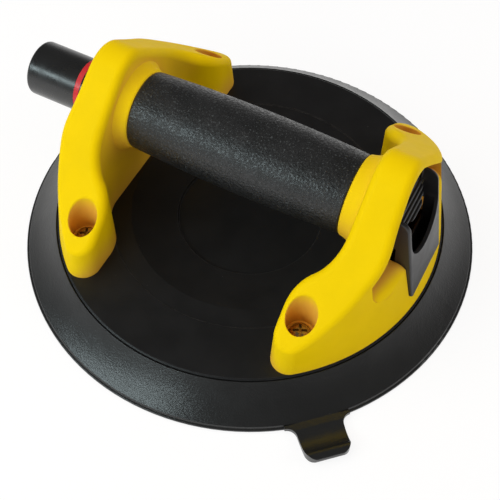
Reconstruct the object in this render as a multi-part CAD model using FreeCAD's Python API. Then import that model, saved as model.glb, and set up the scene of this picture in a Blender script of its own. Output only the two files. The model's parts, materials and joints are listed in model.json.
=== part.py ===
"""Pump-action suction lifter: a rubber cup under a stiff disc, two moulded brackets and a pump in the grip.

Millimetres. The origin is the middle of the cup's sealing face, +Z is up, and the handle runs along X with
the pump plunger at the -X end and the release lever at the +X end.
"""
import FreeCAD
import Part
import math
import os

from FreeCAD import Vector

# Cup
cup_radius = 101.3
lip_height = 1.7
lip_width = 1.3
seal_width = 6.0
flange_thickness = 3.4
rubber_thickness = 2.6
flange_top_z = 14.5

# Pull tab on the rim
tab_angle = -46.8
tab_reach = 16.4
tab_width = 18.8
tab_root_flare = 4.4
tab_thickness = 2.4
tab_end_radius = 5.0

# Base disc
flange_width = 15.8
disc_top_z = 15.0
disc_plate = 3.0
disc_rim_thickness = 5.4
disc_bevel = 0.7
plateau_radius = 62.0
plateau_step = 0.4
dish_radius = 53.0
dish_depth = 4.4
centre_radius = 32.6
centre_step = 1.4

# Handle axis and grip
handle_z = 53.0
grip_end_radius = 17.0
grip_mid_radius = 18.4
grip_edge_round = 0.8

# Brackets
foot_margin = 0.8
wall_lean_middle = 0.232
wall_lean_side = 0.17
lean_change_start = 14.0
lean_change_end = 31.0
arch_apex_z = 85.7
arch_slope = 0.86
arch_crown_radius = 14.0
web_inset = 30.1
toe_inset = 43.3
web_half_width = 24.5
toe_back = 22.89
toe_round = 7.4
bracket_wall = 2.8
edge_round = 3.5
collar_flare = 3.3
pump_collar_length = 5.0
release_collar_length = 7.2
socket_wall = 2.8
screw_circle_inset = 11.7
screw_angle = 46.8
boss_radius = 9.0
counterbore_radius = 6.2
mouth_round = 0.7
screw_seat_z = 25.2
rib_thickness = 2.0

# Bracket screws and inserts
screw_radius = 2.45
screw_head_radius = 4.6
screw_head_height = 3.1
cross_width = 1.1
cross_depth = 1.6
insert_radius = 3.6
insert_length = 4.6

# Pump barrel, plunger and piston
barrel_bore = 13.2
barrel_wall = 1.4
barrel_left_reach = 11.4
barrel_right_reach = 5.4
plunger_radius = 12.0
plunger_wall = 2.6
plunger_reach = 31.2
plunger_end_round = 1.3
plunger_stroke = 24.0
bush_length = 6.4
plunger_hole_gap = 0.9
ring_reach = 7.0
ring_width = 2.4
ring_depth = 1.0
stop_sleeve_length = 33.7
piston_length = 8.0
spigot_length = 8.0
seal_groove_width = 3.2
seal_groove_depth = 2.4
spring_shut_room = 10.0
head_length = 10.0
flap_radius = 6.0
flap_thickness = 1.0
flap_stem_radius = 1.2
port_radius = 1.1
port_circle = 3.6
oring_section = 1.0

# Return spring
wire_sides = 12
spring_wire = 1.1
spring_coil_radius = 9.0
spring_turns = 6

# Release valve
valve_plug_length = 14.0
valve_flange = 1.2
hub_radius = 8.0
hub_length = 4.8
chamber_radius = 4.2
chamber_length = 10.0
stem_radius = 1.5
stem_reach = 3.0
poppet_radius = 3.4
poppet_length = 2.0
valve_spring_wire = 0.6
valve_spring_radius = 2.4
valve_spring_turns = 4

# Release guard and window
guard_half_width = 15.3
guard_bottom_z = 23.3
guard_top_z = 68.0
guard_lean = 0.18
guard_margin = 1.9
guard_depth = 17.8
guard_floor_depth = 11.2
guard_wall = 1.6
guard_edge_round = 1.0
horn_round = 5.0
scoop_half_width = 13.9
scoop_bottom_z = 41.2
sill_z = 42.6
sill_roll = 6.0
window_corner_round = 8.0
window_half_width = 36.0

# Release lever
pivot_inset = 15.8
pivot_z = 59.5
pin_radius = 1.2
lever_boss_radius = 2.2
lever_arm_width = 8.0
lever_arm_thickness = 2.0
lever_arm_length = 8.0
lever_half_width = 11.4
lever_pad_top = 4.0
lever_pad_tip = 7.4
lever_pad_thickness = 2.2
lever_pad_slope = 57.5
lever_ribs = 4
lever_rib_start = 2.7
lever_rib_pitch = 2.15
lever_rib_radius = 0.7
lever_throw = 12.0

# Air line into the cup
port_inset = 18.9
nipple_radius = 2.5
nipple_length = 9.0
tube_radius = 4.3
fitting_flange_radius = 6.0
fitting_flange_height = 2.6
fitting_shank_radius = 4.0
fitting_pad_radius = 7.4
fitting_pad_height = 0.4
nut_across_flats = 12.0
nut_height = 2.6
filter_thickness = 0.8

# Clearances
running_gap = 0.05
joint_gap = 0.3
fit_gap = 0.05
window_gap = 0.25

# Worked-out places
disc_radius = cup_radius - flange_width
base_radius = disc_radius - foot_margin
web_x = base_radius - web_inset
toe_x = base_radius - toe_inset
toe_start_y = math.sqrt(base_radius ** 2 - toe_x ** 2) - toe_back
screw_circle = base_radius - screw_circle_inset
screw_x = screw_circle * math.cos(math.radians(screw_angle))
screw_y = screw_circle * math.sin(math.radians(screw_angle))
grip_left_x = -web_x + pump_collar_length
grip_right_x = web_x - release_collar_length
barrel_left_x = -web_x - barrel_left_reach
barrel_right_x = web_x + barrel_right_reach
bush_outer_x = barrel_left_x - bush_length
ring_x = bush_outer_x - ring_reach
plunger_end_x = bush_outer_x - plunger_reach
piston_x = barrel_left_x + stop_sleeve_length + joint_gap
guard_outer_x = base_radius - guard_margin
guard_inner_x = guard_outer_x - guard_depth
guard_floor_x = guard_outer_x - guard_floor_depth
pivot_x = base_radius - pivot_inset
port_x = base_radius - port_inset
valve_left_x = barrel_right_x - valve_plug_length
chamber_left_x = barrel_right_x - chamber_length
handle_axis = Vector(0, 0, handle_z)
along_x = Vector(1, 0, 0)
along_y = Vector(0, 1, 0)
along_z = Vector(0, 0, 1)
barrel_radius = barrel_bore + barrel_wall
socket_bore = barrel_radius + fit_gap
socket_radius = socket_bore + socket_wall
arch_angle = math.atan(arch_slope)
disc_rim_bottom_z = disc_top_z - disc_rim_thickness
centre_floor_z = disc_top_z - plateau_step - dish_depth - centre_step
piston_end_x = piston_x + piston_length
head_x = piston_end_x + plunger_stroke + spring_shut_room
valve_flange_x = barrel_right_x
hub_x = valve_flange_x + valve_flange
hub_end_x = hub_x + hub_length
stem_end_x = hub_end_x + stem_reach
arm_x = stem_end_x + joint_gap
fitting_seat_z = disc_top_z + fitting_pad_height


def outline_face(points):
    """Flat face inside a closed outline. Points are positions, or (middle, end) pairs for an arc."""
    edges = []
    here = points[0]
    for item in points[1:]:
        if isinstance(item, tuple):
            edges.append(Part.Arc(here, item[0], item[1]).toShape())
            here = item[1]
        else:
            edges.append(Part.makeLine(here, item))
            here = item
    edges.append(Part.makeLine(here, points[0]))
    return Part.Face(Part.Wire(edges))


def revolve(points, origin=Vector(0, 0, 0), axis=along_z):
    """Turns an outline about an axis."""
    return outline_face(points).revolve(origin, axis, 360)


def rz(radius, height):
    """A point of an outline that turns about Z."""
    return Vector(radius, 0, height)


def xr(place, radius):
    """A point of an outline that turns about the handle's axis."""
    return Vector(place, 0, handle_z + radius)


def turned(points):
    return revolve(points, handle_axis, along_x)


def rod(radius, start_x, end_x, y=0.0, z=None):
    """A cylinder along X."""
    centre_z = handle_z if z is None else z
    return Part.makeCylinder(radius, end_x - start_x, Vector(start_x, y, centre_z), along_x)


def post(radius, low_z, high_z, x=0.0, y=0.0):
    """A cylinder along Z."""
    return Part.makeCylinder(radius, high_z - low_z, Vector(x, y, low_z), along_z)


def prism(points, start, direction):
    """Pushes an outline along a direction."""
    face = outline_face(points)
    face.translate(start)
    return face.extrude(direction)


def rounded(shape, radius, wanted):
    """Rounds the edges whose middle point and edge satisfy the test."""
    chosen = []
    for edge in shape.Edges:
        middle = edge.valueAt((edge.FirstParameter + edge.LastParameter) / 2)
        if wanted(middle, edge):
            chosen.append(edge)
    return shape.makeFillet(radius, chosen)


def corners(shape_list):
    """Joins solids into one and drops the seams between faces that continue each other."""
    joined = shape_list[0].fuse(shape_list[1:])
    return joined.removeSplitter()


def four_corners():
    return [(sx * screw_x, sy * screw_y) for sx in (-1, 1) for sy in (-1, 1)]


# Base disc

def disc_outline(drop):
    """Top outline of the disc from the axis outwards, lowered by drop."""
    step_z = centre_floor_z + centre_step
    shelf_z = disc_top_z - plateau_step
    slope_mid = rz((centre_radius + dish_radius) / 2, (step_z + shelf_z) / 2 - 0.35 - drop)
    return [
        rz(centre_radius - 0.5, centre_floor_z - drop),
        rz(centre_radius, step_z - drop),
        (slope_mid, rz(dish_radius, shelf_z - drop)),
        rz(plateau_radius - 0.3, shelf_z - drop),
        rz(plateau_radius, disc_top_z - drop),
    ]


def disc_body():
    points = [rz(0, centre_floor_z)]
    points += disc_outline(0)
    points.append(rz(disc_radius - disc_bevel, disc_top_z))
    points.append(rz(disc_radius, disc_top_z - disc_bevel * 0.7))
    points.append(rz(disc_radius, disc_rim_bottom_z))
    points.append(rz(plateau_radius - 2, disc_rim_bottom_z))
    points.append(rz(centre_radius, centre_floor_z - disc_plate))
    points.append(rz(0, centre_floor_z - disc_plate))
    return revolve(points)


def base_disc():
    solid = disc_body()
    solid = corners([solid, post(fitting_pad_radius, disc_rim_bottom_z, fitting_seat_z, port_x, 0)])
    for x, y in four_corners():
        pocket = post(insert_radius + fit_gap, disc_top_z - insert_length, disc_top_z + 1, x, y)
        solid = solid.cut(pocket)
    shank = post(fitting_shank_radius + fit_gap, 0, fitting_seat_z + 1, port_x, 0)
    return solid.cut(shank)


# Rubber cup

def tab():
    """Pull tab: a waved tongue with a flared root and rounded corners, made along +X and then turned."""
    root = cup_radius - 1.6
    end = cup_radius + tab_reach
    low = 0.5
    top = low + tab_thickness
    side = [
        Vector(root, 0, low),
        Vector(cup_radius + 0.6, 0, low),
        (Vector(cup_radius + 0.5 * tab_reach, 0, low - 0.3), Vector(end - 2.6, 0, low + 0.9)),
        (Vector(end - 0.5, 0, low + 1.6), Vector(end, 0, low + 3.2)),
        Vector(end - 0.2, 0, top + 2.0),
        (Vector(end - 2.3, 0, top + 3.0), Vector(end - 4.4, 0, top + 1.7)),
        (Vector(cup_radius + 0.45 * tab_reach, 0, top - 0.5), Vector(cup_radius + 1.4, 0, top - 0.2)),
        Vector(root, 0, top - 0.4),
    ]
    body = prism(side, Vector(0, -tab_width, 0), Vector(0, 2 * tab_width, 0))
    half = tab_width / 2
    flare = half + tab_root_flare
    neck = cup_radius + 3.4
    round_start = end - tab_end_radius
    corner = tab_end_radius * (1 - math.sqrt(0.5))
    plan = [
        Vector(root, -flare, 0),
        Vector(cup_radius - 0.4, -flare, 0),
        (Vector(cup_radius + 1.0, -half - 1.5, 0), Vector(neck, -half - 0.4, 0)),
        Vector(round_start, -half, 0),
        (Vector(end - corner, -half + corner, 0), Vector(end, -half + tab_end_radius, 0)),
        Vector(end, half - tab_end_radius, 0),
        (Vector(end - corner, half - corner, 0), Vector(round_start, half, 0)),
        Vector(neck, half + 0.4, 0),
        (Vector(cup_radius + 1.0, half + 1.5, 0), Vector(cup_radius - 0.4, flare, 0)),
        Vector(root, flare, 0),
    ]
    outline = prism(plan, Vector(0, 0, -1), Vector(0, 0, 14))
    tongue = body.common(outline)
    tongue.rotate(Vector(0, 0, 0), along_z, tab_angle)
    return tongue


def rubber_cup():
    seal_inner = cup_radius - 0.8 - seal_width
    flange_foot = cup_radius - lip_width
    under_rim_z = disc_rim_bottom_z - rubber_thickness
    nut_floor_start = port_x - nut_across_flats / math.sqrt(3) - joint_gap
    points = [
        rz(0, centre_floor_z - disc_plate),
        rz(centre_radius, centre_floor_z - disc_plate),
        rz(plateau_radius - 2, disc_rim_bottom_z),
        rz(disc_radius, disc_rim_bottom_z),
        rz(disc_radius, flange_top_z - 0.7),
        rz(disc_radius + 0.7, flange_top_z),
        (rz((disc_radius + flange_foot) / 2 + 0.2, (flange_top_z + lip_height) / 2 - 0.35),
         rz(flange_foot, lip_height + 0.6)),
        rz(flange_foot + 0.4, lip_height - 0.2),
        (rz(cup_radius - 0.2, lip_height - 0.35), rz(cup_radius, lip_height - 0.9)),
        rz(cup_radius, 0.5),
        rz(cup_radius - 0.5, 0),
        rz(seal_inner, 0),
        rz(seal_inner - 1.4, 0.9),
        rz(disc_radius - flange_thickness + 1.6, under_rim_z),
        rz(nut_floor_start, under_rim_z),
        rz(centre_radius, centre_floor_z - disc_plate - rubber_thickness),
        rz(0, centre_floor_z - disc_plate - rubber_thickness),
    ]
    solid = corners([revolve(points), tab()])
    return solid.cut(post(fitting_shank_radius + fit_gap, 0, disc_top_z, port_x, 0))


# Brackets

def arch(inset):
    """Solid under the ridge line: two straight flanks that meet in a round crown, set in by inset."""
    apex = arch_apex_z - inset / math.cos(arch_angle)
    crown = arch_crown_radius - inset
    base_z = disc_top_z - 3
    foot_y = (apex - base_z) / arch_slope
    tangent_y = crown * math.sin(arch_angle)
    tangent_z = apex - arch_slope * tangent_y
    crown_z = apex - crown * (1 / math.cos(arch_angle) - 1)
    points = [
        Vector(0, -foot_y, base_z),
        Vector(0, -tangent_y, tangent_z),
        (Vector(0, 0, crown_z), Vector(0, tangent_y, tangent_z)),
        Vector(0, foot_y, base_z),
    ]
    return prism(points, Vector(toe_x - 6, 0, 0), Vector(base_radius - toe_x + 12, 0, 0))


def wall_x(y, z, inset=0):
    """Place of the outer wall: on the disc's circle at its foot, leaning in most in the middle."""
    share = (abs(y) - lean_change_start) / (lean_change_end - lean_change_start)
    share = min(1, max(0, share))
    share = share * share * (3 - 2 * share)
    lean = wall_lean_middle + share * (wall_lean_side - wall_lean_middle)
    return math.sqrt((base_radius - inset) ** 2 - y ** 2) - lean * (z - disc_top_z)


def wall_outline(z, inset):
    """Closed outline of the outer wall at one height, through the same stations at every height."""
    reach = 0.9 * base_radius
    back = 0.1 * base_radius
    stations = [reach * index / 8 for index in range(-8, 9)]
    points = [Vector(wall_x(y, z, inset), y, z) for y in stations]
    curve = Part.BSplineCurve()
    curve.interpolate(points, Parameters=stations)
    closing = Part.makePolygon([points[-1], Vector(back, reach, z), Vector(back, -reach, z), points[0]])
    return Part.Wire([curve.toShape()] + closing.Edges)


def skirt(inset):
    """Body that the outer wall follows, ruled from the disc's circle to a squarer line above the ridge."""
    return Part.makeLoft([wall_outline(z, inset) for z in (disc_top_z - 3, arch_apex_z + 2)], True, True)


def inner_side(inset):
    """Everything outside the inner wall: a flat web that swings in to a toe on each side of the handle."""
    web = web_x + inset
    toe = toe_x + inset
    swing = ((web_x - toe_x) ** 2 + (toe_start_y - web_half_width) ** 2) / (4 * (web_x - toe_x))
    turn = math.asin((toe_start_y - web_half_width) / 2 / swing)
    outer_radius = swing + inset
    inner_radius = swing - inset
    far = base_radius + 10
    first_centre = Vector(web_x - swing, web_half_width, 0)
    second_centre = Vector(toe_x + swing, toe_start_y, 0)

    def arc_point(centre, radius, angle, side):
        return Vector(centre.x + radius * math.cos(angle), side * (centre.y + radius * math.sin(angle)), 0)

    upper = [
        Vector(web, web_half_width, 0),
        (arc_point(first_centre, outer_radius, turn / 2, 1), arc_point(first_centre, outer_radius, turn, 1)),
        (arc_point(second_centre, inner_radius, math.pi + turn / 2, 1), Vector(toe, toe_start_y, 0)),
        Vector(toe, far, 0),
        Vector(far, far, 0),
        Vector(far, -far, 0),
        Vector(toe, -far, 0),
        Vector(toe, -toe_start_y, 0),
        (arc_point(second_centre, inner_radius, math.pi + turn / 2, -1),
         arc_point(first_centre, outer_radius, turn, -1)),
        (arc_point(first_centre, outer_radius, turn / 2, -1), Vector(web, -web_half_width, 0)),
    ]
    return prism(upper, Vector(0, 0, disc_top_z - 3), Vector(0, 0, arch_apex_z))


def bracket_form(inset):
    """Bracket's outer form, or the hollow inside it when it is set in by the wall."""
    toe = toe_x + inset
    walls = skirt(inset).common(inner_side(inset))
    split_z = ridge_z(toe_start_y)
    span = 2 * base_radius
    below = Part.makeBox(span, 2 * span, span, Vector(0, -span, split_z - span))
    feet = rounded(walls.common(below).Solids[0], toe_round - inset,
                   lambda middle, edge: is_toe_edge(middle, edge, toe))
    return corners([feet, walls.cut(below)]).common(arch(inset)).removeSplitter().Solids[0]


def is_toe_edge(middle, edge, toe):
    box = edge.BoundBox
    upright = box.ZLength > 2 * box.YLength and box.XLength < 0.2
    return upright and abs(middle.x - toe) < 0.2 and abs(middle.y) > toe_start_y


def ridge_z(y):
    tangent_y = arch_crown_radius * math.sin(arch_angle)
    if abs(y) >= tangent_y:
        return arch_apex_z - arch_slope * abs(y)
    crown_z = arch_apex_z - arch_crown_radius / math.cos(arch_angle)
    return crown_z + math.sqrt(arch_crown_radius ** 2 - y ** 2)


def is_ridge_edge(middle, edge):
    across = edge.BoundBox.YLength < 0.05
    return abs(middle.z - ridge_z(middle.y)) < 0.05 and middle.z > disc_top_z + 2 and not across


def collar(end_x):
    """Round cuff at the grip's end: a flare from the grip's own radius into the web."""
    tip = grip_end_radius + 0.3
    points = [
        xr(end_x, 0),
        xr(end_x, tip - 0.5),
        xr(end_x + 0.5, tip),
        (xr(end_x + 0.55 * (web_x - end_x), tip + 0.3 * collar_flare), xr(web_x + 0.6, tip + collar_flare)),
        xr(web_x + 0.6, 0),
    ]
    return turned(points)


def ribs(hollow):
    """Stiffening walls that cross at each screw boss, trimmed to the hollow."""
    low = disc_top_z - 3
    walls = []
    for side in (-1, 1):
        across = Part.makeBox(base_radius, rib_thickness, arch_apex_z,
                              Vector(toe_x, side * screw_y - rib_thickness / 2, low))
        start_y = web_half_width if side > 0 else -web_half_width - base_radius
        along = Part.makeBox(rib_thickness, base_radius, arch_apex_z,
                             Vector(screw_x - rib_thickness / 2, start_y, low))
        walls += [across, along]
    return [wall.common(hollow) for wall in walls]


def rounded_form():
    return rounded(bracket_form(0), edge_round, is_ridge_edge)


def bracket(collar_end):
    """Moulded bracket on the +X side: shell, collar, barrel socket, screw bosses and ribs."""
    outer = rounded_form()
    hollow = bracket_form(bracket_wall)
    shell = outer.cut(hollow)
    extras = ribs(hollow)
    for side in (-1, 1):
        extras.append(post(boss_radius, disc_top_z - 3, arch_apex_z, screw_x, side * screw_y).common(outer))
    extras.append(collar(collar_end))
    extras.append(rod(socket_radius, web_x, barrel_right_x - 1))
    solid = corners([shell] + extras)
    for side in (-1, 1):
        y = side * screw_y
        solid = solid.cut(post(counterbore_radius, screw_seat_z, arch_apex_z, screw_x, y))
        solid = solid.cut(post(screw_radius + joint_gap, 0, screw_seat_z + 1, screw_x, y))
        solid = solid.cut(mouth_flare(side))
    solid = solid.cut(rod(socket_bore, collar_end - 1, barrel_right_x + 2))
    return solid.cut(disc_body())


def mouth_flare(side):
    """Rounded lip of a counterbore: ovals on the sloping flank that open out towards its surface."""
    ovals = []
    steps = ((mouth_round, 0), (0.3 * mouth_round, 0.25 * mouth_round), (-0.4, mouth_round + 0.25))
    for depth, widening in steps:
        radius = counterbore_radius + widening
        centre = Vector(screw_x, side * screw_y, ridge_z(screw_y) - depth)
        downhill = Vector(0, side * radius, -arch_slope * radius)
        oval = Part.Ellipse(centre + downhill, centre + Vector(radius, 0, 0), centre)
        ovals.append(Part.Wire(oval.toShape()))
    return Part.makeLoft(ovals, True, True)


def mirrored(shape):
    """The same shape on the plunger side of the cup."""
    return shape.mirror(Vector(0, 0, 0), along_x)


def pump_bracket():
    """Bracket on the -X side: a socket reaches the skirt and holds the barrel and the plunger's bush."""
    solid = mirrored(bracket(-grip_left_x))
    socket = rod(socket_radius, web_x, base_radius).common(skirt(edge_round / 4))
    solid = corners([solid, mirrored(socket)])
    solid = solid.cut(rod(socket_bore, bush_outer_x - fit_gap, grip_left_x + 1))
    return solid.cut(rod(plunger_radius + plunger_hole_gap, -base_radius - 1, bush_outer_x))


def window_cut(gap):
    """Opening in the release bracket: a slot for the guard, and above the sill a wider one up to the ridge."""
    half = guard_half_width + gap
    low = guard_bottom_z - gap
    drop = edge_round + 0.6
    crown = ridge_z(0) - drop
    tangent_y = arch_crown_radius * math.sin(arch_angle)
    side = window_half_width
    corner = window_corner_round
    bend = corner * (1 - math.sqrt(0.5))
    foot = sill_z - sill_roll

    def at(y, z):
        return Vector(guard_inner_x - 4, y, z)

    wide = prism([
        at(-side + corner, foot),
        (at(-side + bend, foot + bend), at(-side, foot + corner)),
        at(-side, ridge_z(side) - drop),
        at(-tangent_y, ridge_z(tangent_y) - drop),
        (at(0, crown), at(tangent_y, ridge_z(tangent_y) - drop)),
        at(side, ridge_z(side) - drop),
        at(side, foot + corner),
        (at(side - bend, foot + bend), at(side - corner, foot)),
    ], Vector(0, 0, 0), Vector(base_radius, 0, 0))
    slot = prism([at(-half, low), at(half, low), at(half, sill_z + 2), at(-half, sill_z + 2)],
                 Vector(0, 0, 0), Vector(base_radius, 0, 0))
    return [slot, wide.common(above_sill(half, side))]


def above_sill(near_y, far_y):
    """Everything above the sill, whose front rolls down to the wall along the wall's own curve."""
    foot = sill_z - sill_roll
    near_x = wall_x(near_y, foot)
    far_x = wall_x(far_y, foot)
    centre = (near_x ** 2 + near_y ** 2 - far_x ** 2 - far_y ** 2) / (2 * (near_x - far_x))
    front = centre + math.hypot(near_x - centre, near_y) + 0.4
    bend = sill_roll * (1 - math.sqrt(0.5))
    return revolve([
        rz(centre, sill_z),
        rz(front - sill_roll, sill_z),
        (rz(front - bend, sill_z - bend), rz(front, foot)),
        rz(front + sill_roll, foot),
        rz(front + sill_roll, arch_apex_z),
        rz(centre, arch_apex_z),
    ], rz(centre, 0))


def window_rim():
    """Solid behind the window's edges: the wall turns inwards there, under the ridge and along the sill."""
    side = window_half_width + bracket_wall
    low = sill_z - bracket_wall

    def at(y, z):
        return Vector(guard_inner_x + 1, y, z)

    outline = [at(-side, low), at(-side, arch_apex_z), at(side, arch_apex_z), at(side, low)]
    return prism(outline, Vector(0, 0, 0), Vector(base_radius, 0, 0))


def release_bracket():
    solid = bracket(grip_right_x)
    solid = corners([solid, window_rim().common(rounded_form())])
    for opening in window_cut(window_gap):
        solid = solid.cut(opening)
    return solid


# Bracket screws and inserts

def bracket_screw(x, y):
    """Pan head screw with a cross recess."""
    top = screw_seat_z + screw_head_height
    head = revolve([
        rz(0, screw_seat_z),
        rz(screw_head_radius, screw_seat_z),
        rz(screw_head_radius, screw_seat_z + 0.4 * screw_head_height),
        (rz(0.8 * screw_head_radius, screw_seat_z + 0.82 * screw_head_height), rz(0, top)),
    ])
    shank = post(screw_radius, disc_top_z - insert_length + 0.5, screw_seat_z)
    screw = corners([head, shank])
    for turn in (0, 90):
        arm = Part.makeBox(0.62 * 2 * screw_head_radius, cross_width, cross_depth + 1,
                           Vector(-0.62 * screw_head_radius, -cross_width / 2, top - cross_depth))
        arm.rotate(Vector(0, 0, 0), along_z, turn + 25)
        screw = screw.cut(arm)
    screw.translate(Vector(x, y, 0))
    return screw


def bracket_screws():
    return Part.makeCompound([bracket_screw(x, y) for x, y in four_corners()])


def threaded_inserts():
    pieces = []
    for x, y in four_corners():
        body = post(insert_radius, disc_top_z - insert_length, disc_top_z, x, y)
        groove = post(insert_radius + 1, disc_top_z - 0.6 * insert_length, disc_top_z - 0.4 * insert_length, x, y)
        body = body.cut(groove.cut(post(insert_radius - 0.5, 0, disc_top_z, x, y)))
        pieces.append(body.cut(post(screw_radius + fit_gap, 0, disc_top_z + 1, x, y)))
    return Part.makeCompound(pieces)


# Grip and barrel

def grip_sleeve():
    left = grip_left_x + fit_gap
    right = grip_right_x - fit_gap
    bore = barrel_radius + fit_gap
    points = [
        xr(left, bore),
        xr(left, grip_end_radius - grip_edge_round),
        (xr(left + 0.3 * grip_edge_round, grip_end_radius - 0.3 * grip_edge_round),
         xr(left + grip_edge_round, grip_end_radius)),
        (xr((left + right) / 2, grip_mid_radius), xr(right - grip_edge_round, grip_end_radius)),
        (xr(right - 0.3 * grip_edge_round, grip_end_radius - 0.3 * grip_edge_round),
         xr(right, grip_end_radius - grip_edge_round)),
        xr(right, bore),
    ]
    return turned(points)


def pump_barrel():
    tube = rod(barrel_radius, barrel_left_x, barrel_right_x)
    return tube.cut(rod(barrel_bore, barrel_left_x - 1, barrel_right_x + 1))


# Plunger side

def wiper_place():
    return (bush_outer_x + barrel_left_x) / 2


def guide_bush():
    """Bush that guides the plunger, with a groove for the wiper."""
    bore = plunger_radius + running_gap
    groove = wiper_place()
    outer = barrel_radius
    return turned([
        xr(bush_outer_x, bore + 0.3),
        xr(bush_outer_x, outer - 0.5),
        xr(bush_outer_x + 0.5, outer),
        xr(barrel_left_x, outer),
        xr(barrel_left_x, bore),
        xr(groove + oring_section, bore),
        xr(groove + oring_section, bore + 2 * oring_section),
        xr(groove - oring_section, bore + 2 * oring_section),
        xr(groove - oring_section, bore),
        xr(bush_outer_x + 0.3, bore),
    ])


def ring_seal(x, outer, section):
    """A rubber ring of round section with the given outer radius."""
    torus = Part.makeTorus(outer - section, section, Vector(x, 0, handle_z), along_x)
    return torus


def wiper_ring():
    inner = plunger_radius + running_gap
    section = oring_section - 0.03
    return Part.makeTorus(inner + section, section, Vector(wiper_place(), 0, handle_z), along_x)


def stop_sleeve():
    """Spacer that stops the piston at the end of the out stroke."""
    right = piston_x - joint_gap
    tube = rod(barrel_bore - fit_gap, barrel_left_x, right)
    return tube.cut(rod(plunger_radius + joint_gap, barrel_left_x - 1, right + 1))


def plunger():
    """Hollow push rod: closed round end outside, open at the piston."""
    corner = plunger_end_round * (1 - math.sqrt(0.5))
    inner = plunger_radius - plunger_wall
    solid = turned([
        xr(plunger_end_x, 0),
        xr(plunger_end_x, plunger_radius - plunger_end_round),
        (xr(plunger_end_x + corner, plunger_radius - corner),
         xr(plunger_end_x + plunger_end_round, plunger_radius)),
        xr(ring_x, plunger_radius),
        xr(ring_x, plunger_radius - ring_depth),
        xr(ring_x + ring_width, plunger_radius - ring_depth),
        xr(ring_x + ring_width, plunger_radius),
        xr(piston_x, plunger_radius),
        xr(piston_x, inner),
        xr(plunger_end_x + plunger_wall, inner),
        xr(plunger_end_x + plunger_wall, 0),
    ])
    vent = post(0.8, handle_z - plunger_radius - 1, handle_z, ring_x - 3, 0)
    return solid.cut(vent)


def indicator_ring():
    outer = rod(plunger_radius, ring_x, ring_x + ring_width)
    return outer.cut(rod(plunger_radius - ring_depth, ring_x - 1, ring_x + ring_width + 1))


def seal_groove_x():
    return piston_x + (piston_length - seal_groove_width) / 2


def ports(start_x, end_x):
    """Ring of small air ports through a plug."""
    holes = []
    for index in range(4):
        angle = math.radians(45 + 90 * index)
        y = port_circle * math.cos(angle)
        z = handle_z + port_circle * math.sin(angle)
        holes.append(rod(port_radius, start_x, end_x, y, z))
    return holes


def piston():
    """Piston head with a seal groove, and a spigot that plugs into the plunger."""
    outer = barrel_bore - running_gap - 0.03
    groove = seal_groove_x()
    solid = turned([
        xr(piston_x - spigot_length, 0),
        xr(piston_x - spigot_length, plunger_radius - plunger_wall - fit_gap),
        xr(piston_x, plunger_radius - plunger_wall - fit_gap),
        xr(piston_x, outer),
        xr(groove, outer),
        xr(groove, outer - seal_groove_depth),
        xr(groove + seal_groove_width, outer - seal_groove_depth),
        xr(groove + seal_groove_width, outer),
        xr(piston_end_x, outer),
        xr(piston_end_x, 0),
    ])
    for hole in ports(piston_x - spigot_length - 1, piston_end_x + 1):
        solid = solid.cut(hole)
    return solid.cut(rod(flap_stem_radius + fit_gap, piston_x - spigot_length - 1, piston_end_x + 1))


def piston_seal():
    """Cup seal: a ring with a V-shaped mouth towards the pumped air."""
    groove = seal_groove_x()
    inner = barrel_bore - running_gap - 0.03 - seal_groove_depth
    outer = barrel_bore - running_gap
    left = groove + fit_gap
    right = groove + seal_groove_width - fit_gap
    middle = (inner + outer) / 2
    return turned([
        xr(left, inner),
        xr(left, outer - 0.4),
        xr(left + 0.4, outer),
        xr(right, outer),
        xr(right, outer - 0.5),
        xr(right - 0.55 * seal_groove_width, middle),
        xr(right, inner + 0.5),
        xr(right, inner),
    ])


def flap_valve(face_x, depth):
    """Umbrella valve: a thin round flap at face_x with a stem through the plug to its right."""
    return turned([
        xr(face_x - flap_thickness, 0),
        xr(face_x - 0.5 * flap_thickness, flap_radius),
        xr(face_x, flap_radius),
        xr(face_x, flap_stem_radius),
        xr(face_x + depth + 0.2, flap_stem_radius),
        xr(face_x + depth + 0.2, flap_stem_radius + 0.8),
        xr(face_x + depth + 1.4, flap_stem_radius - 0.3),
        xr(face_x + depth + 1.4, 0),
    ])


def exhaust_valve():
    return flap_valve(piston_x - spigot_length, spigot_length + piston_length)


def coil(start_x, end_x, radius, wire, turns):
    """Compression spring along the handle's axis. Its wire is a many-sided bar of the round wire's area."""
    pitch = (end_x - start_x - wire) / turns
    helix = Part.makeHelix(pitch, pitch * turns, radius)
    step = 2 * math.pi / wire_sides
    corner_radius = wire / 2 * math.sqrt(step / math.sin(step))
    section = []
    for index in range(wire_sides + 1):
        angle = (index + 0.5) * step
        section.append(Vector(radius + corner_radius * math.cos(angle), 0, corner_radius * math.sin(angle)))
    solid = Part.Wire(helix).makePipeShell([Part.makePolygon(section)], True, True)
    solid.rotate(Vector(0, 0, 0), along_y, 90)
    solid.translate(Vector(start_x + wire / 2, 0, handle_z))
    return solid


def return_spring():
    return coil(piston_end_x + fit_gap, head_x - fit_gap, spring_coil_radius, spring_wire, spring_turns)


# Cylinder head and release valve

def sealed_plug(left_x, right_x, groove_x):
    """Plug in the barrel with a groove for a ring seal."""
    outer = barrel_bore - fit_gap
    depth = 1.8 * oring_section
    return turned([
        xr(left_x, 0),
        xr(left_x, outer - 0.4),
        xr(left_x + 0.4, outer),
        xr(groove_x - 1.15 * oring_section, outer),
        xr(groove_x - 1.15 * oring_section, outer - depth),
        xr(groove_x + 1.15 * oring_section, outer - depth),
        xr(groove_x + 1.15 * oring_section, outer),
        xr(right_x, outer),
        xr(right_x, 0),
    ])


def plug_seal(groove_x):
    section = 0.9 * oring_section
    return ring_seal(groove_x, barrel_bore - fit_gap, section - 0.02)


def head_groove_x():
    return head_x + head_length / 2


def body_groove_x():
    return (valve_left_x + chamber_left_x) / 2 + 1.5


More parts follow.
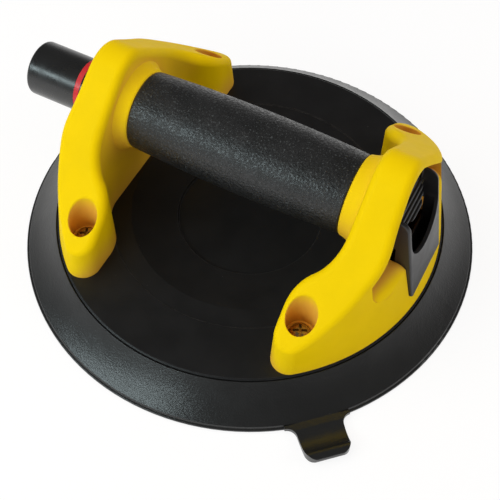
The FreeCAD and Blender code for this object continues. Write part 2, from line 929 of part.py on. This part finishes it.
def cylinder_head():
    solid = sealed_plug(head_x, head_x + head_length, head_groove_x())
    for hole in ports(head_x - 1, head_x + head_length + 1):
        solid = solid.cut(hole)
    return solid.cut(rod(flap_stem_radius + fit_gap, head_x - 1, head_x + head_length + 1))


def check_valve():
    return flap_valve(head_x, head_length)


def head_seal():
    return plug_seal(head_groove_x())


def body_seal():
    return plug_seal(body_groove_x())


def nipple(top_z, bottom_z):
    """Hose nipple along Z with two barbs."""
    barb = nipple_radius
    shank = nipple_radius - 0.35
    step = (top_z - bottom_z) / 3
    outline = [rz(0, top_z), rz(shank, top_z)]
    for index in (1, 2):
        outline.append(rz(shank, top_z - index * step))
        outline.append(rz(barb, top_z - index * step))
        outline.append(rz(shank, top_z - index * step - 0.7 * step))
    outline += [rz(shank, bottom_z), rz(0, bottom_z)]
    solid = revolve(outline)
    solid.translate(Vector(port_x, 0, 0))
    return solid


def valve_body():
    """Plug at the barrel's release end, with the release valve's chamber, its hub and the hose nipple."""
    plug = sealed_plug(valve_left_x, valve_flange_x, body_groove_x())
    flange = rod(barrel_radius, valve_flange_x, hub_x)
    hub = rod(hub_radius, valve_flange_x, hub_end_x)
    boss = post(nipple_radius + 1.6, handle_z - hub_radius - 1.5, handle_z - 3.5, port_x, 0)
    hose = nipple(handle_z - hub_radius - 1.0, handle_z - hub_radius - nipple_length)
    solid = corners([plug, flange, hub, boss.common(rod(hub_radius + 3, hub_x, port_x + 6)), hose])
    seat_x = chamber_right_x()
    solid = solid.cut(rod(chamber_radius, chamber_left_x, seat_x))
    solid = solid.cut(rod(2.0, valve_left_x - 1, chamber_left_x + 1))
    solid = solid.cut(rod(stem_radius + 0.08, seat_x - 1, hub_end_x + 5))
    duct = post(1.3, handle_z - hub_radius - nipple_length - 1, handle_z - 5, port_x, 0)
    side = rod(1.3, chamber_left_x + 6, port_x, 0, handle_z - 5 - 1.3)
    return solid.cut(duct).cut(side).cut(rod(1.3, chamber_left_x - 6, chamber_left_x + 8, 0, handle_z - 6.3))


def chamber_right_x():
    return valve_flange_x - 1.0


def poppet_x():
    """Right face of the poppet, which closes on the chamber's end by way of its ring seal."""
    return chamber_right_x() - joint_gap - 2 * 0.5


def valve_stem():
    """Poppet and stem of the release valve; the lever pushes its outer end."""
    face = poppet_x()
    return turned([
        xr(face - poppet_length - 1.2, 0),
        xr(face - poppet_length - 1.2, 1.4),
        xr(face - poppet_length, 1.4),
        xr(face - poppet_length, poppet_radius),
        xr(face, poppet_radius),
        xr(face, stem_radius),
        xr(stem_end_x - 0.4, stem_radius),
        xr(stem_end_x, stem_radius - 0.4),
        xr(stem_end_x, 0),
    ])


def valve_seal():
    """Ring seal on the poppet's face."""
    return Part.makeTorus(stem_radius + 0.55 + 0.05, 0.5, Vector(poppet_x() + 0.5, 0, handle_z), along_x)


def release_spring():
    return coil(chamber_left_x + fit_gap, poppet_x() - poppet_length - fit_gap,
                valve_spring_radius, valve_spring_wire, valve_spring_turns)


# Air line

def air_tube():
    top = handle_z - hub_radius - 1.8
    bottom = fitting_seat_z + fitting_flange_height + 0.4
    tube = post(tube_radius, bottom, top, port_x, 0)
    return tube.cut(post(nipple_radius + fit_gap, bottom - 1, top + 1, port_x, 0))


def cup_fitting():
    """Hose fitting clamped through the disc and the rubber."""
    flange_top = fitting_seat_z + fitting_flange_height
    low = disc_rim_bottom_z - rubber_thickness - nut_height
    flange = post(fitting_flange_radius, fitting_seat_z, flange_top, port_x, 0)
    shank = post(fitting_shank_radius, low, fitting_seat_z, port_x, 0)
    hose = nipple(flange_top, flange_top + nipple_length)
    solid = corners([flange, shank, hose])
    solid = solid.cut(post(1.3, low - 1, flange_top + nipple_length + 1, port_x, 0))
    return solid.cut(post(2.6, low - 1, low + filter_thickness + 0.4, port_x, 0))


def filter_disc():
    low = disc_rim_bottom_z - rubber_thickness - nut_height
    return post(2.6 - fit_gap, low + 0.4, low + 0.4 + filter_thickness, port_x, 0)


def fitting_nut():
    top = disc_rim_bottom_z - rubber_thickness
    across = nut_across_flats / math.sqrt(3)
    outline = [Vector(across * math.cos(math.radians(60 * i)), across * math.sin(math.radians(60 * i)), 0)
               for i in range(6)]
    solid = prism(outline, Vector(port_x, 0, top - nut_height), Vector(0, 0, nut_height))
    return solid.cut(post(fitting_shank_radius + fit_gap, 0, top + 1, port_x, 0))


# Release guard and lever

def guard_face_x(z):
    return guard_outer_x - guard_lean * (z - guard_bottom_z)


def guard_block(inset):
    """Solid behind the guard's leaning face, or the pocket inside it when it is set in by the wall."""
    half = guard_half_width - inset
    low = guard_bottom_z + inset
    top = guard_top_z if inset == 0 else guard_top_z + 6
    back = guard_inner_x if inset == 0 else guard_inner_x - 2
    sill = pivot_z - 9 if inset == 0 else scoop_bottom_z - 2
    side = [
        Vector(guard_floor_x + 2 + inset, -half, low),
        Vector(guard_face_x(low) - inset, -half, low),
        Vector(guard_face_x(top) - inset, -half, top),
        Vector(back, -half, top - 1.5),
        Vector(back, -half, sill),
        Vector(guard_floor_x + inset, -half, sill),
    ]
    return prism(side, Vector(0, 0, 0), Vector(0, 2 * half, 0))


def is_horn_edge(middle, edge):
    return abs(middle.z - guard_top_z) < 0.01 and abs(middle.x - guard_face_x(guard_top_z)) < 0.01


def is_guard_front_edge(middle, edge):
    beside = abs(abs(middle.y) - guard_half_width) < 0.01
    return beside and middle.x > guard_face_x(middle.z) - horn_round and middle.z > guard_bottom_z + 1 \
        and middle.z < guard_top_z - 0.3


def release_guard():
    """Finger pocket in the window: a leaning front with a U-shaped scoop between two side walls."""
    body = rounded(guard_block(0), horn_round, is_horn_edge)
    front = rounded(body, guard_edge_round, is_guard_front_edge)
    half = scoop_half_width
    points = [
        Vector(0, -half, guard_top_z + 6),
        Vector(0, -half, scoop_bottom_z + half),
        (Vector(0, 0, scoop_bottom_z), Vector(0, half, scoop_bottom_z + half)),
        Vector(0, half, guard_top_z + 6),
    ]
    scoop = prism(points, Vector(guard_inner_x + 4, 0, 0), Vector(30, 0, 0))
    solid = front.cut(guard_block(guard_wall)).cut(scoop)
    pin = Part.makeCylinder(pin_radius + fit_gap, 4 * guard_half_width,
                            Vector(pivot_x, -2 * guard_half_width, pivot_z), along_y)
    return solid.cut(pin)


def lever_pin():
    length = 2 * guard_half_width - 0.6
    return Part.makeCylinder(pin_radius, length, Vector(pivot_x, -length / 2, pivot_z), along_y)


def on_pad(along, depth):
    """Point of the thumb pad's middle plane: along the slope from the first rib, and below the surface."""
    slope = math.radians(lever_pad_slope)
    first_x = pivot_x + lever_boss_radius * math.sin(slope) - lever_rib_start * math.cos(slope)
    first_z = pivot_z + lever_boss_radius * math.cos(slope) + lever_rib_start * math.sin(slope)
    return Vector(first_x + along * math.cos(slope) - depth * math.sin(slope), 0,
                  first_z - along * math.sin(slope) - depth * math.cos(slope))


def release_lever():
    """Ribbed thumb pad with a rounded tip, and the arm that pushes the valve stem, on one boss."""
    boss_half = lever_half_width - 1.4
    boss = Part.makeCylinder(lever_boss_radius, 2 * boss_half, Vector(pivot_x, -boss_half, pivot_z), along_y)
    arm = Part.makeBox(lever_arm_thickness, lever_arm_width, lever_arm_length,
                       Vector(arm_x, -lever_arm_width / 2, pivot_z - lever_arm_length))
    tip_radius = (lever_half_width ** 2 + lever_pad_tip ** 2) / (2 * lever_pad_tip)
    wide = 2 * lever_half_width
    sideways = Vector(0, lever_half_width, 0)
    slab = prism([on_pad(-lever_pad_top, 0), on_pad(lever_pad_tip, 0), on_pad(lever_pad_tip, lever_pad_thickness),
                  on_pad(-lever_pad_top, lever_pad_thickness)], -sideways, Vector(0, wide, 0))
    bars = []
    for index in range(lever_ribs):
        centre = on_pad(index * lever_rib_pitch, 0)
        bars.append(Part.makeCylinder(lever_rib_radius, wide, centre - sideways, along_y))
    face_out = on_pad(0, 0) - on_pad(0, 1)
    tip = on_pad(lever_pad_tip - tip_radius, lever_pad_thickness + 1)
    rounding = Part.makeCylinder(tip_radius, lever_pad_thickness + 3, tip, face_out)
    pad = corners([slab] + bars).common(rounding)
    solid = corners([boss, arm, pad])
    hole = Part.makeCylinder(pin_radius + running_gap, 2 * wide, Vector(pivot_x, -wide, pivot_z), along_y)
    return solid.cut(hole)


nodes = {
    "rubber_cup": rubber_cup,
    "base_disc": base_disc,
    "pump_bracket": pump_bracket,
    "release_bracket": release_bracket,
    "bracket_screws": bracket_screws,
    "threaded_inserts": threaded_inserts,
    "grip_sleeve": grip_sleeve,
    "pump_barrel": pump_barrel,
    "guide_bush": guide_bush,
    "wiper_ring": wiper_ring,
    "stop_sleeve": stop_sleeve,
    "plunger": plunger,
    "indicator_ring": indicator_ring,
    "piston": piston,
    "piston_seal": piston_seal,
    "exhaust_valve": exhaust_valve,
    "return_spring": return_spring,
    "cylinder_head": cylinder_head,
    "head_seal": head_seal,
    "check_valve": check_valve,
    "valve_body": valve_body,
    "body_seal": body_seal,
    "valve_stem": valve_stem,
    "valve_seal": valve_seal,
    "release_spring": release_spring,
    "air_tube": air_tube,
    "cup_fitting": cup_fitting,
    "fitting_nut": fitting_nut,
    "filter_disc": filter_disc,
    "release_guard": release_guard,
    "release_lever": release_lever,
    "lever_pin": lever_pin,
}

os.makedirs("parts", exist_ok=True)
for name, build in nodes.items():
    shape = build()
    shape.exportStep("parts/" + name + ".step")
    print(name, len(shape.Solids), round(shape.Volume), shape.isValid())
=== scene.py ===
"""Looks of the pump-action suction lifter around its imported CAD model. Metres, in the model's own frame."""
import json
import math

import bpy
from mathutils import Matrix, Vector


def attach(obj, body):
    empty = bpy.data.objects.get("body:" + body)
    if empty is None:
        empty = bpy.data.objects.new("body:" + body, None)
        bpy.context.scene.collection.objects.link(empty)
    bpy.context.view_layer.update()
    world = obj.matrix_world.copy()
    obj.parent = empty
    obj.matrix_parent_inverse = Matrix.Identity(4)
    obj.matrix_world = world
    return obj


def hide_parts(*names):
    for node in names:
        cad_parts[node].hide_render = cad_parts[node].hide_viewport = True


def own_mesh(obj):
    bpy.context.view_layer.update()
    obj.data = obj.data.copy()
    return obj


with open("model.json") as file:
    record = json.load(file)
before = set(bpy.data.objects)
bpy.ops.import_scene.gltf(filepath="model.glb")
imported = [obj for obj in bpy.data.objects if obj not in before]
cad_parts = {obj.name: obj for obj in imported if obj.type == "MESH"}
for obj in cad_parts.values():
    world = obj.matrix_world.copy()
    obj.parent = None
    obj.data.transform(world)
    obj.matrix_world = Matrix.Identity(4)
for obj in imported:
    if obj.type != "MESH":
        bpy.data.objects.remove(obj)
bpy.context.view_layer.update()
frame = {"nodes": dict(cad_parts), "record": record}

nodes = frame["nodes"]

MM = 0.001


# Node helpers

NOISE_ROUGHNESS = 0.55
NOISE_LOW = 0.3
NOISE_HIGH = 0.7
BEVEL_SAMPLES = 6
FACE_FLAT = 0.99
FACE_EDGE = 0.86
PAINTED_SHADE_SAMPLES = 8
PAINTED_SHADE_OPEN = 0.95
PAINTED_SHADE_SHUT = 0.45


class Nodes:
    """A node tree with short calls for the nodes that repeat."""

    def __init__(self, tree):
        self.tree = tree
        self.coordinates = tree.nodes.new("ShaderNodeTexCoord").outputs

    def link(self, source, socket):
        self.tree.links.new(source, socket)

    def noise(self, size_mm, detail=3.0, distortion=0.0, stretch=None):
        """Noise in 0 to 1 whose features are about size_mm wide."""
        node = self.tree.nodes.new("ShaderNodeTexNoise")
        node.inputs["Scale"].default_value = 1 / (size_mm * MM)
        node.inputs["Detail"].default_value = detail
        node.inputs["Roughness"].default_value = NOISE_ROUGHNESS
        node.inputs["Distortion"].default_value = distortion
        self.link(self.placed(stretch), node.inputs["Vector"])
        return node.outputs["Fac"]

    def cells(self, size_mm, feature="F1"):
        """Distance from the middle of cells about size_mm wide."""
        node = self.tree.nodes.new("ShaderNodeTexVoronoi")
        node.feature = feature
        node.inputs["Scale"].default_value = 1 / (size_mm * MM)
        self.link(self.coordinates["Object"], node.inputs["Vector"])
        return node.outputs["Distance"]

    def placed(self, stretch):
        """The piece's own coordinates, scaled by stretch if there is one."""
        if stretch is None:
            return self.coordinates["Object"]
        node = self.tree.nodes.new("ShaderNodeMapping")
        node.inputs["Scale"].default_value = stretch
        self.link(self.coordinates["Object"], node.inputs["Vector"])
        return node.outputs["Vector"]

    def span(self, value, low, high, to_low=0.0, to_high=1.0):
        """Takes low to high smoothly onto to_low to to_high."""
        node = self.tree.nodes.new("ShaderNodeMapRange")
        node.interpolation_type = "SMOOTHSTEP"
        node.inputs["From Min"].default_value = low
        node.inputs["From Max"].default_value = high
        node.inputs["To Min"].default_value = to_low
        node.inputs["To Max"].default_value = to_high
        self.link(value, node.inputs["Value"])
        return node.outputs["Result"]

    def spread(self, noise, to_low=0.0, to_high=1.0):
        """Takes the range in which most of a noise lies onto to_low to to_high."""
        return self.span(noise, NOISE_LOW, NOISE_HIGH, to_low, to_high)

    def math(self, operation, a, b):
        """The operation on a and b. Each is a number or a socket."""
        node = self.tree.nodes.new("ShaderNodeMath")
        node.operation = operation
        for value, socket in ((a, node.inputs[0]), (b, node.inputs[1])):
            if isinstance(value, (int, float)):
                socket.default_value = value
            else:
                self.link(value, socket)
        return node.outputs[0]

    def blend(self, share, a, b):
        """Colour a where share is 0 and b where it is 1. Each is a colour or a socket."""
        node = self.tree.nodes.new("ShaderNodeMix")
        node.data_type = "RGBA"
        for value, socket in ((a, node.inputs[6]), (b, node.inputs[7])):
            if isinstance(value, tuple):
                socket.default_value = (*value, 1)
            else:
                self.link(value, socket)
        self.link(share, node.inputs[0])
        return node.outputs[2]

    def edges(self, radius_mm):
        """1 close to a hard edge and 0 on open faces, with the softened normal."""
        bevel = self.tree.nodes.new("ShaderNodeBevel")
        bevel.samples = BEVEL_SAMPLES
        bevel.inputs["Radius"].default_value = radius_mm * MM
        geometry = self.tree.nodes.new("ShaderNodeNewGeometry")
        dot = self.tree.nodes.new("ShaderNodeVectorMath")
        dot.operation = "DOT_PRODUCT"
        self.link(bevel.outputs["Normal"], dot.inputs[0])
        self.link(geometry.outputs["Normal"], dot.inputs[1])
        return self.span(dot.outputs["Value"], FACE_FLAT, FACE_EDGE), bevel.outputs["Normal"]

    def painted_shade_mask(self, reach_mm):
        """Mask for painted shade: 1 deep in corners and hollows, 0 on open faces."""
        node = self.tree.nodes.new("ShaderNodeAmbientOcclusion")
        node.samples = PAINTED_SHADE_SAMPLES
        node.inputs["Distance"].default_value = reach_mm * MM
        return self.span(node.outputs["AO"], PAINTED_SHADE_OPEN, PAINTED_SHADE_SHUT)

    def bump(self, height, distance_mm, under=None):
        """The normal that a height gives, on top of the normal under it if there is one."""
        node = self.tree.nodes.new("ShaderNodeBump")
        node.inputs["Strength"].default_value = 1.0
        node.inputs["Distance"].default_value = distance_mm * MM
        self.link(height, node.inputs["Height"])
        if under is not None:
            self.link(under, node.inputs["Normal"])
        return node.outputs["Normal"]


def new_material(name):
    material = bpy.data.materials.new(name)
    material.use_nodes = True
    return material, Nodes(material.node_tree), material.node_tree.nodes["Principled BSDF"]


def scaled(colour, factor):
    return tuple(min(1.0, channel * factor) for channel in colour)


def clouded(n, colour, cloud_mm, mottle):
    """The colour with lighter and darker clouds about cloud_mm wide."""
    clouds = n.noise(cloud_mm, detail=4)
    return n.blend(n.spread(clouds), scaled(colour, 1 - mottle), scaled(colour, 1 + mottle))


# Moulded plastic and rubber

MOULDED_CLOUD_MM = 14
EDGE_WEAR_AND_HIGHLIGHT_PATCH_MM = 3.0
RUBBED_LIGHTER = 1.25
SPECK_MM = 2.6
SPECK_PATCH_MM = 5.0
DUST_COLOUR = (0.24, 0.24, 0.23)
PAINTED_SHADE_REACH_MM = 24
SMEAR_MM = 9
COARSE_GRAIN_SIZE = 3.1
COARSE_GRAIN_SHARE = 0.6


def dust_specks(n):
    """1 on small specks that lie in a few patches."""
    specks = n.span(n.cells(SPECK_MM), 0.07, 0.045)
    return n.math("MULTIPLY", specks, n.span(n.noise(SPECK_PATCH_MM, detail=1), 0.60, 0.66))


def moulded(name, colour, roughness, grain_mm, grain_height, specular=0.5, mottle=0.07, edge_wear_and_highlight_colour=None,
            dust=0.0, roughness_swing=0.06, edge_mm=0.35, painted_shade_colour=None):
    """Moulded plastic or rubber: fine grain, faint clouds of colour, lighter edges that are partly rubbed
    wear and partly painted highlight, a little dust, and painted shade in corners and hollows when a shade
    colour is given.
    """
    material, n, shader = new_material(name)
    tint = clouded(n, colour, MOULDED_CLOUD_MM, mottle)
    rubbed_and_highlit, soft_normal = n.edges(edge_mm)
    patches = n.span(n.noise(EDGE_WEAR_AND_HIGHLIGHT_PATCH_MM, detail=5), 0.35, 0.65, 0.25, 0.8)
    # Lighter edges: partly rubbed wear, partly a painted highlight on rims.
    tint = n.blend(n.math("MULTIPLY", rubbed_and_highlit, patches), tint, edge_wear_and_highlight_colour or scaled(colour, RUBBED_LIGHTER))
    if dust:
        tint = n.blend(n.math("MULTIPLY", dust_specks(n), dust), tint, DUST_COLOUR)
    # Painted shade: a darker, more orange colour blended in where corners and hollows fall into shade.
    if painted_shade_colour:
        tint = n.blend(n.painted_shade_mask(PAINTED_SHADE_REACH_MM), tint, painted_shade_colour)
    n.link(tint, shader.inputs["Base Color"])
    smears = n.noise(SMEAR_MM, detail=5, distortion=0.8)
    n.link(n.span(smears, 0.25, 0.75, roughness - roughness_swing, roughness + roughness_swing),
           shader.inputs["Roughness"])
    shader.inputs["Specular IOR Level"].default_value = specular
    coarse = n.math("MULTIPLY", n.noise(grain_mm * COARSE_GRAIN_SIZE, detail=2), COARSE_GRAIN_SHARE)
    grain = n.math("ADD", n.noise(grain_mm, detail=2), coarse)
    n.link(n.bump(grain, grain_height, under=soft_normal), shader.inputs["Normal"])
    return material


# Grip rubber

GRIP_CLOUD_MM = 11
GRIP_DARK = (0.010, 0.0105, 0.0105)
GRIP_LIGHT = (0.017, 0.0175, 0.018)
PAINTED_GLINT_COLOUR = (0.11, 0.125, 0.13)
GLINT_MM = 0.7
PAINTED_GLINT_SHARE = 0.45
GRIP_SHINE_MM = 1.1
PEBBLE_MM = 1.0
PEBBLE_HEIGHT = 0.14


def soft_grip(name):
    """Grip rubber with a coarse sparkling grain and painted glints in its colour."""
    material, n, shader = new_material(name)
    base = n.blend(n.spread(n.noise(GRIP_CLOUD_MM)), GRIP_DARK, GRIP_LIGHT)
    # Painted glints: lighter specks in the base colour stand in for the sparkle of the grain.
    painted_glints = n.span(n.noise(GLINT_MM, detail=1), 0.60, 0.74)
    n.link(n.blend(n.math("MULTIPLY", painted_glints, PAINTED_GLINT_SHARE), base, PAINTED_GLINT_COLOUR), shader.inputs["Base Color"])
    n.link(n.span(n.noise(GRIP_SHINE_MM, detail=2), 0.35, 0.65, 0.30, 0.58), shader.inputs["Roughness"])
    shader.inputs["Specular IOR Level"].default_value = 0.62
    pebbles = n.math("ADD", n.cells(PEBBLE_MM, feature="SMOOTH_F1"), n.noise(GLINT_MM, detail=2))
    n.link(n.bump(pebbles, PEBBLE_HEIGHT), shader.inputs["Normal"])
    return material


# Metal

METAL_CLOUD_MM = 2.5
METAL_MOTTLE = 0.12
METAL_ROUGHNESS_SWING = 0.08
TOOL_MARK_MM = 0.3
TOOL_MARK_HEIGHT = 0.006


def metal(name, colour, roughness, brushed=None):
    """Metal with fine tool marks and clouded colour."""
    material, n, shader = new_material(name)
    n.link(clouded(n, colour, METAL_CLOUD_MM, METAL_MOTTLE), shader.inputs["Base Color"])
    shader.inputs["Metallic"].default_value = 1.0
    marks = n.noise(TOOL_MARK_MM, stretch=brushed)
    n.link(n.spread(marks, roughness - METAL_ROUGHNESS_SWING, roughness + METAL_ROUGHNESS_SWING),
           shader.inputs["Roughness"])
    n.link(n.bump(marks, TOOL_MARK_HEIGHT), shader.inputs["Normal"])
    return material


# Felt

FIBRE_MM = 0.35
FIBRE_HEIGHT = 0.08
FELT_DARK = (0.58, 0.57, 0.52)
FELT_LIGHT = (0.82, 0.81, 0.77)


def felt(name):
    """Filter felt: tangled pale fibres."""
    material, n, shader = new_material(name)
    fibres = n.noise(FIBRE_MM, detail=6, distortion=2.5)
    n.link(n.blend(n.spread(fibres), FELT_DARK, FELT_LIGHT), shader.inputs["Base Color"])
    shader.inputs["Roughness"].default_value = 0.95
    shader.inputs["Sheen Weight"].default_value = 0.3
    n.link(n.bump(fibres, FIBRE_HEIGHT), shader.inputs["Normal"])
    return material


# Materials and the nodes that wear them

YELLOW = (0.955, 0.675, 0.001)
RUBBED_YELLOW = (0.98, 0.71, 0.015)
# Darker orange yellow used as painted shade in corners and hollows.
PAINTED_SHADE_YELLOW = (0.90, 0.50, 0.065)
ALONG_TUBE = (0.08, 1, 1)
LOOKS = {
    "cup_rubber": moulded("cup_rubber", (0.0125, 0.0130, 0.0132), 0.31, specular=0.66, grain_mm=0.8,
                          grain_height=0.075, edge_wear_and_highlight_colour=(0.030, 0.031, 0.031), dust=0.5,
                          roughness_swing=0.03),
    # Edge colours of the black parts are partly rubbed wear and partly a painted highlight on rims.
    "black_plastic": moulded("black_plastic", (0.0105, 0.0108, 0.0114), 0.42, specular=0.34, grain_mm=0.4,
                             grain_height=0.010, edge_wear_and_highlight_colour=(0.060, 0.061, 0.063), dust=0.5, mottle=0.14,
                             edge_mm=0.6),
    "guard_plastic": moulded("guard_plastic", (0.0120, 0.0120, 0.0130), 0.38, specular=0.6, grain_mm=0.35,
                             grain_height=0.010, edge_wear_and_highlight_colour=(0.050, 0.050, 0.053)),
    "yellow_plastic": moulded("yellow_plastic", YELLOW, 0.55, specular=0.05, grain_mm=0.5, grain_height=0.006,
                              mottle=0.02, edge_wear_and_highlight_colour=RUBBED_YELLOW, roughness_swing=0.05,
                              painted_shade_colour=PAINTED_SHADE_YELLOW),
    "grip_rubber": soft_grip("grip_rubber"),
    "plunger_plastic": moulded("plunger_plastic", (0.011, 0.0115, 0.012), 0.28, specular=0.70, grain_mm=0.35,
                               grain_height=0.004, edge_wear_and_highlight_colour=(0.04, 0.04, 0.042)),
    "red_ring": moulded("red_ring", (0.60, 0.020, 0.030), 0.35, grain_mm=0.4, grain_height=0.004),
    "screw_steel": metal("screw_steel", (0.44, 0.37, 0.23), 0.30),
    "brass": metal("brass", (0.72, 0.53, 0.25), 0.32),
    "barrel_aluminium": metal("barrel_aluminium", (0.74, 0.75, 0.76), 0.30, brushed=ALONG_TUBE),
    "seal_rubber": moulded("seal_rubber", (0.013, 0.013, 0.013), 0.50, grain_mm=0.3, grain_height=0.006),
    "spring_steel": metal("spring_steel", (0.60, 0.60, 0.61), 0.28),
    "filter_felt": felt("filter_felt"),
}
OWN_LOOK = {"release_guard": "guard_plastic", "release_lever": "guard_plastic"}

slot_of = {part["node"]: part["material_slot"] for part in frame["record"]["subparts"]}
for name, obj in nodes.items():
    look = LOOKS[OWN_LOOK.get(name, slot_of[name])]
    obj.data.materials.clear()
    obj.data.materials.append(look)


# Springs


def working_spring(node):
    """Stands in for the node: a copy of its mesh on the frame body, while the node itself is hidden."""
    spring = bpy.data.objects.new(node + "_coil", nodes[node].data.copy())
    bpy.context.scene.collection.objects.link(spring)
    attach(spring, "frame")
    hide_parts(node)
    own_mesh(spring)


working_spring("return_spring")
working_spring("release_spring")


# Floor and world

FLOOR_GLOW = 0.86
FLOOR_DIFFUSE_SEEN = 0.16
FLOOR_DIFFUSE = 0.78
FLOOR_MOTTLE = 0.01
FLOOR_HALF_WIDTH = 6.0
FLOOR_DROP = 0.2 * MM
PAPER_MM = 6.0

WORLD_AMBIENT = 0.33
AMBIENT_TINT = (1.0, 0.92, 0.95)
BACKDROP = 0.58
BACKDROP_LOW = 0.02
BACKDROP_HIGH = 0.34
CEILING = 0.10
WHITE = (1.0, 1.0, 1.0)


def background_rays(n):
    """1 for camera, glossy and transmission rays, which see the background, and 1 for camera rays alone."""
    path = n.tree.nodes.new("ShaderNodeLightPath").outputs
    camera = path["Is Camera Ray"]
    either = n.math("MAXIMUM", camera, path["Is Glossy Ray"])
    return n.math("MAXIMUM", either, path["Is Transmission Ray"]), camera


def floor_material():
    """White paper that shows white to the camera and still takes the object's shadow."""
    material, n, shader = new_material("floor")
    seen, _ = background_rays(n)
    paper = n.spread(n.noise(PAPER_MM))
    shade = n.blend(paper, (FLOOR_DIFFUSE - FLOOR_MOTTLE,) * 3, (FLOOR_DIFFUSE + FLOOR_MOTTLE,) * 3)
    n.link(n.blend(seen, shade, (FLOOR_DIFFUSE_SEEN,) * 3), shader.inputs["Base Color"])
    n.link(n.math("MULTIPLY", seen, FLOOR_GLOW), shader.inputs["Emission Strength"])
    shader.inputs["Emission Color"].default_value = (*WHITE, 1)
    shader.inputs["Roughness"].default_value = 0.9
    shader.inputs["Specular IOR Level"].default_value = 0.0
    return material


def make_floor():
    size = FLOOR_HALF_WIDTH
    mesh = bpy.data.meshes.new("floor")
    corners = [(-size, -size, 0), (size, -size, 0), (size, size, 0), (-size, size, 0)]
    mesh.from_pydata(corners, [], [(0, 1, 2, 3)])
    floor = bpy.data.objects.new("floor", mesh)
    floor.location.z = -FLOOR_DROP
    mesh.materials.append(floor_material())
    bpy.context.scene.collection.objects.link(floor)


def make_world():
    """Plain studio: even soft light, a white backdrop low down and a dim ceiling in reflections."""
    world = bpy.data.worlds.new("studio")
    world.use_nodes = True
    bpy.context.scene.world = world
    tree = world.node_tree
    n = Nodes(tree)
    split = tree.nodes.new("ShaderNodeSeparateXYZ")
    n.link(n.coordinates["Generated"], split.inputs[0])
    reflected = n.span(split.outputs["Z"], BACKDROP_LOW, BACKDROP_HIGH, BACKDROP, CEILING)
    seen, camera = background_rays(n)
    shown = n.math("MAXIMUM", reflected, camera)
    strength = n.math("ADD", n.math("MULTIPLY", shown, seen),
                      n.math("MULTIPLY", n.math("SUBTRACT", 1.0, seen), WORLD_AMBIENT))
    background = tree.nodes["Background"]
    n.link(n.blend(seen, AMBIENT_TINT, WHITE), background.inputs["Color"])
    n.link(strength, background.inputs["Strength"])


make_floor()
make_world()


# Lamps

COOL = (0.80, 0.97, 1.0)
WARM = (1.0, 0.93, 0.84)
LAMP_AIM = Vector((0, 0, 0.03))


def direction(azimuth, elevation):
    """Unit vector towards a place; azimuth 0 is the -Y side and 90 the +X side."""
    a = math.radians(azimuth)
    e = math.radians(elevation)
    return Vector((math.sin(a) * math.cos(e), -math.cos(a) * math.cos(e), math.sin(e)))


def softbox(name, azimuth, elevation, distance, width, height, radiance, colour, in_reflections):
    """Rectangular lamp that faces LAMP_AIM from a direction in degrees and a distance in metres."""
    lamp = bpy.data.lights.new(name, "AREA")
    lamp.shape = "RECTANGLE"
    lamp.size = width
    lamp.size_y = height
    lamp.energy = radiance * math.pi * width * height
    lamp.color = colour
    obj = bpy.data.objects.new(name, lamp)
    way = direction(azimuth, elevation)
    obj.location = LAMP_AIM + way * distance
    obj.rotation_mode = "QUATERNION"
    obj.rotation_quaternion = way.to_track_quat("Z", "Y")
    obj.visible_camera = False
    obj.visible_glossy = in_reflections
    bpy.context.scene.collection.objects.link(obj)


softbox("key_overhead", azimuth=-62, elevation=64, distance=1.3, width=1.1, height=1.1, radiance=1.95,
        colour=WARM, in_reflections=False)
softbox("front_fill", azimuth=8, elevation=18, distance=1.2, width=0.7, height=0.35, radiance=1.3,
        colour=WARM, in_reflections=False)
softbox("back_right", azimuth=108, elevation=28, distance=1.2, width=0.6, height=0.5, radiance=3.1,
        colour=WARM, in_reflections=False)
softbox("front_left", azimuth=-30, elevation=31, distance=1.1, width=0.92, height=0.16, radiance=8.6,
        colour=COOL, in_reflections=True)


# Camera

CAMERA_PLACE = Vector((0.1156, -0.2241, 0.3566))
CAMERA_TARGET = Vector((0.00616, -0.01181, 0.0))
CAMERA_ROLL = 0.43
CAMERA_LENS = 68.4
CAMERA_SENSOR = 36.0
CAMERA_NEAR = 0.01
CAMERA_FAR = 20.0


def make_camera():
    data = bpy.data.cameras.new("camera")
    data.sensor_width = CAMERA_SENSOR
    data.lens = CAMERA_LENS
    data.clip_start = CAMERA_NEAR
    data.clip_end = CAMERA_FAR
    camera = bpy.data.objects.new("camera", data)
    back = (CAMERA_PLACE - CAMERA_TARGET).normalized()
    right = Vector((0, 0, 1)).cross(back).normalized()
    up = back.cross(right)
    roll = math.radians(CAMERA_ROLL)
    side = right * math.cos(roll) + up * math.sin(roll)
    top = up * math.cos(roll) - right * math.sin(roll)
    camera.matrix_world = Matrix((
        (side.x, top.x, back.x, CAMERA_PLACE.x),
        (side.y, top.y, back.y, CAMERA_PLACE.y),
        (side.z, top.z, back.z, CAMERA_PLACE.z),
        (0, 0, 0, 1),
    ))
    bpy.context.scene.collection.objects.link(camera)
    bpy.context.scene.camera = camera


make_camera()
bpy.context.scene.view_settings.view_transform = "Standard"
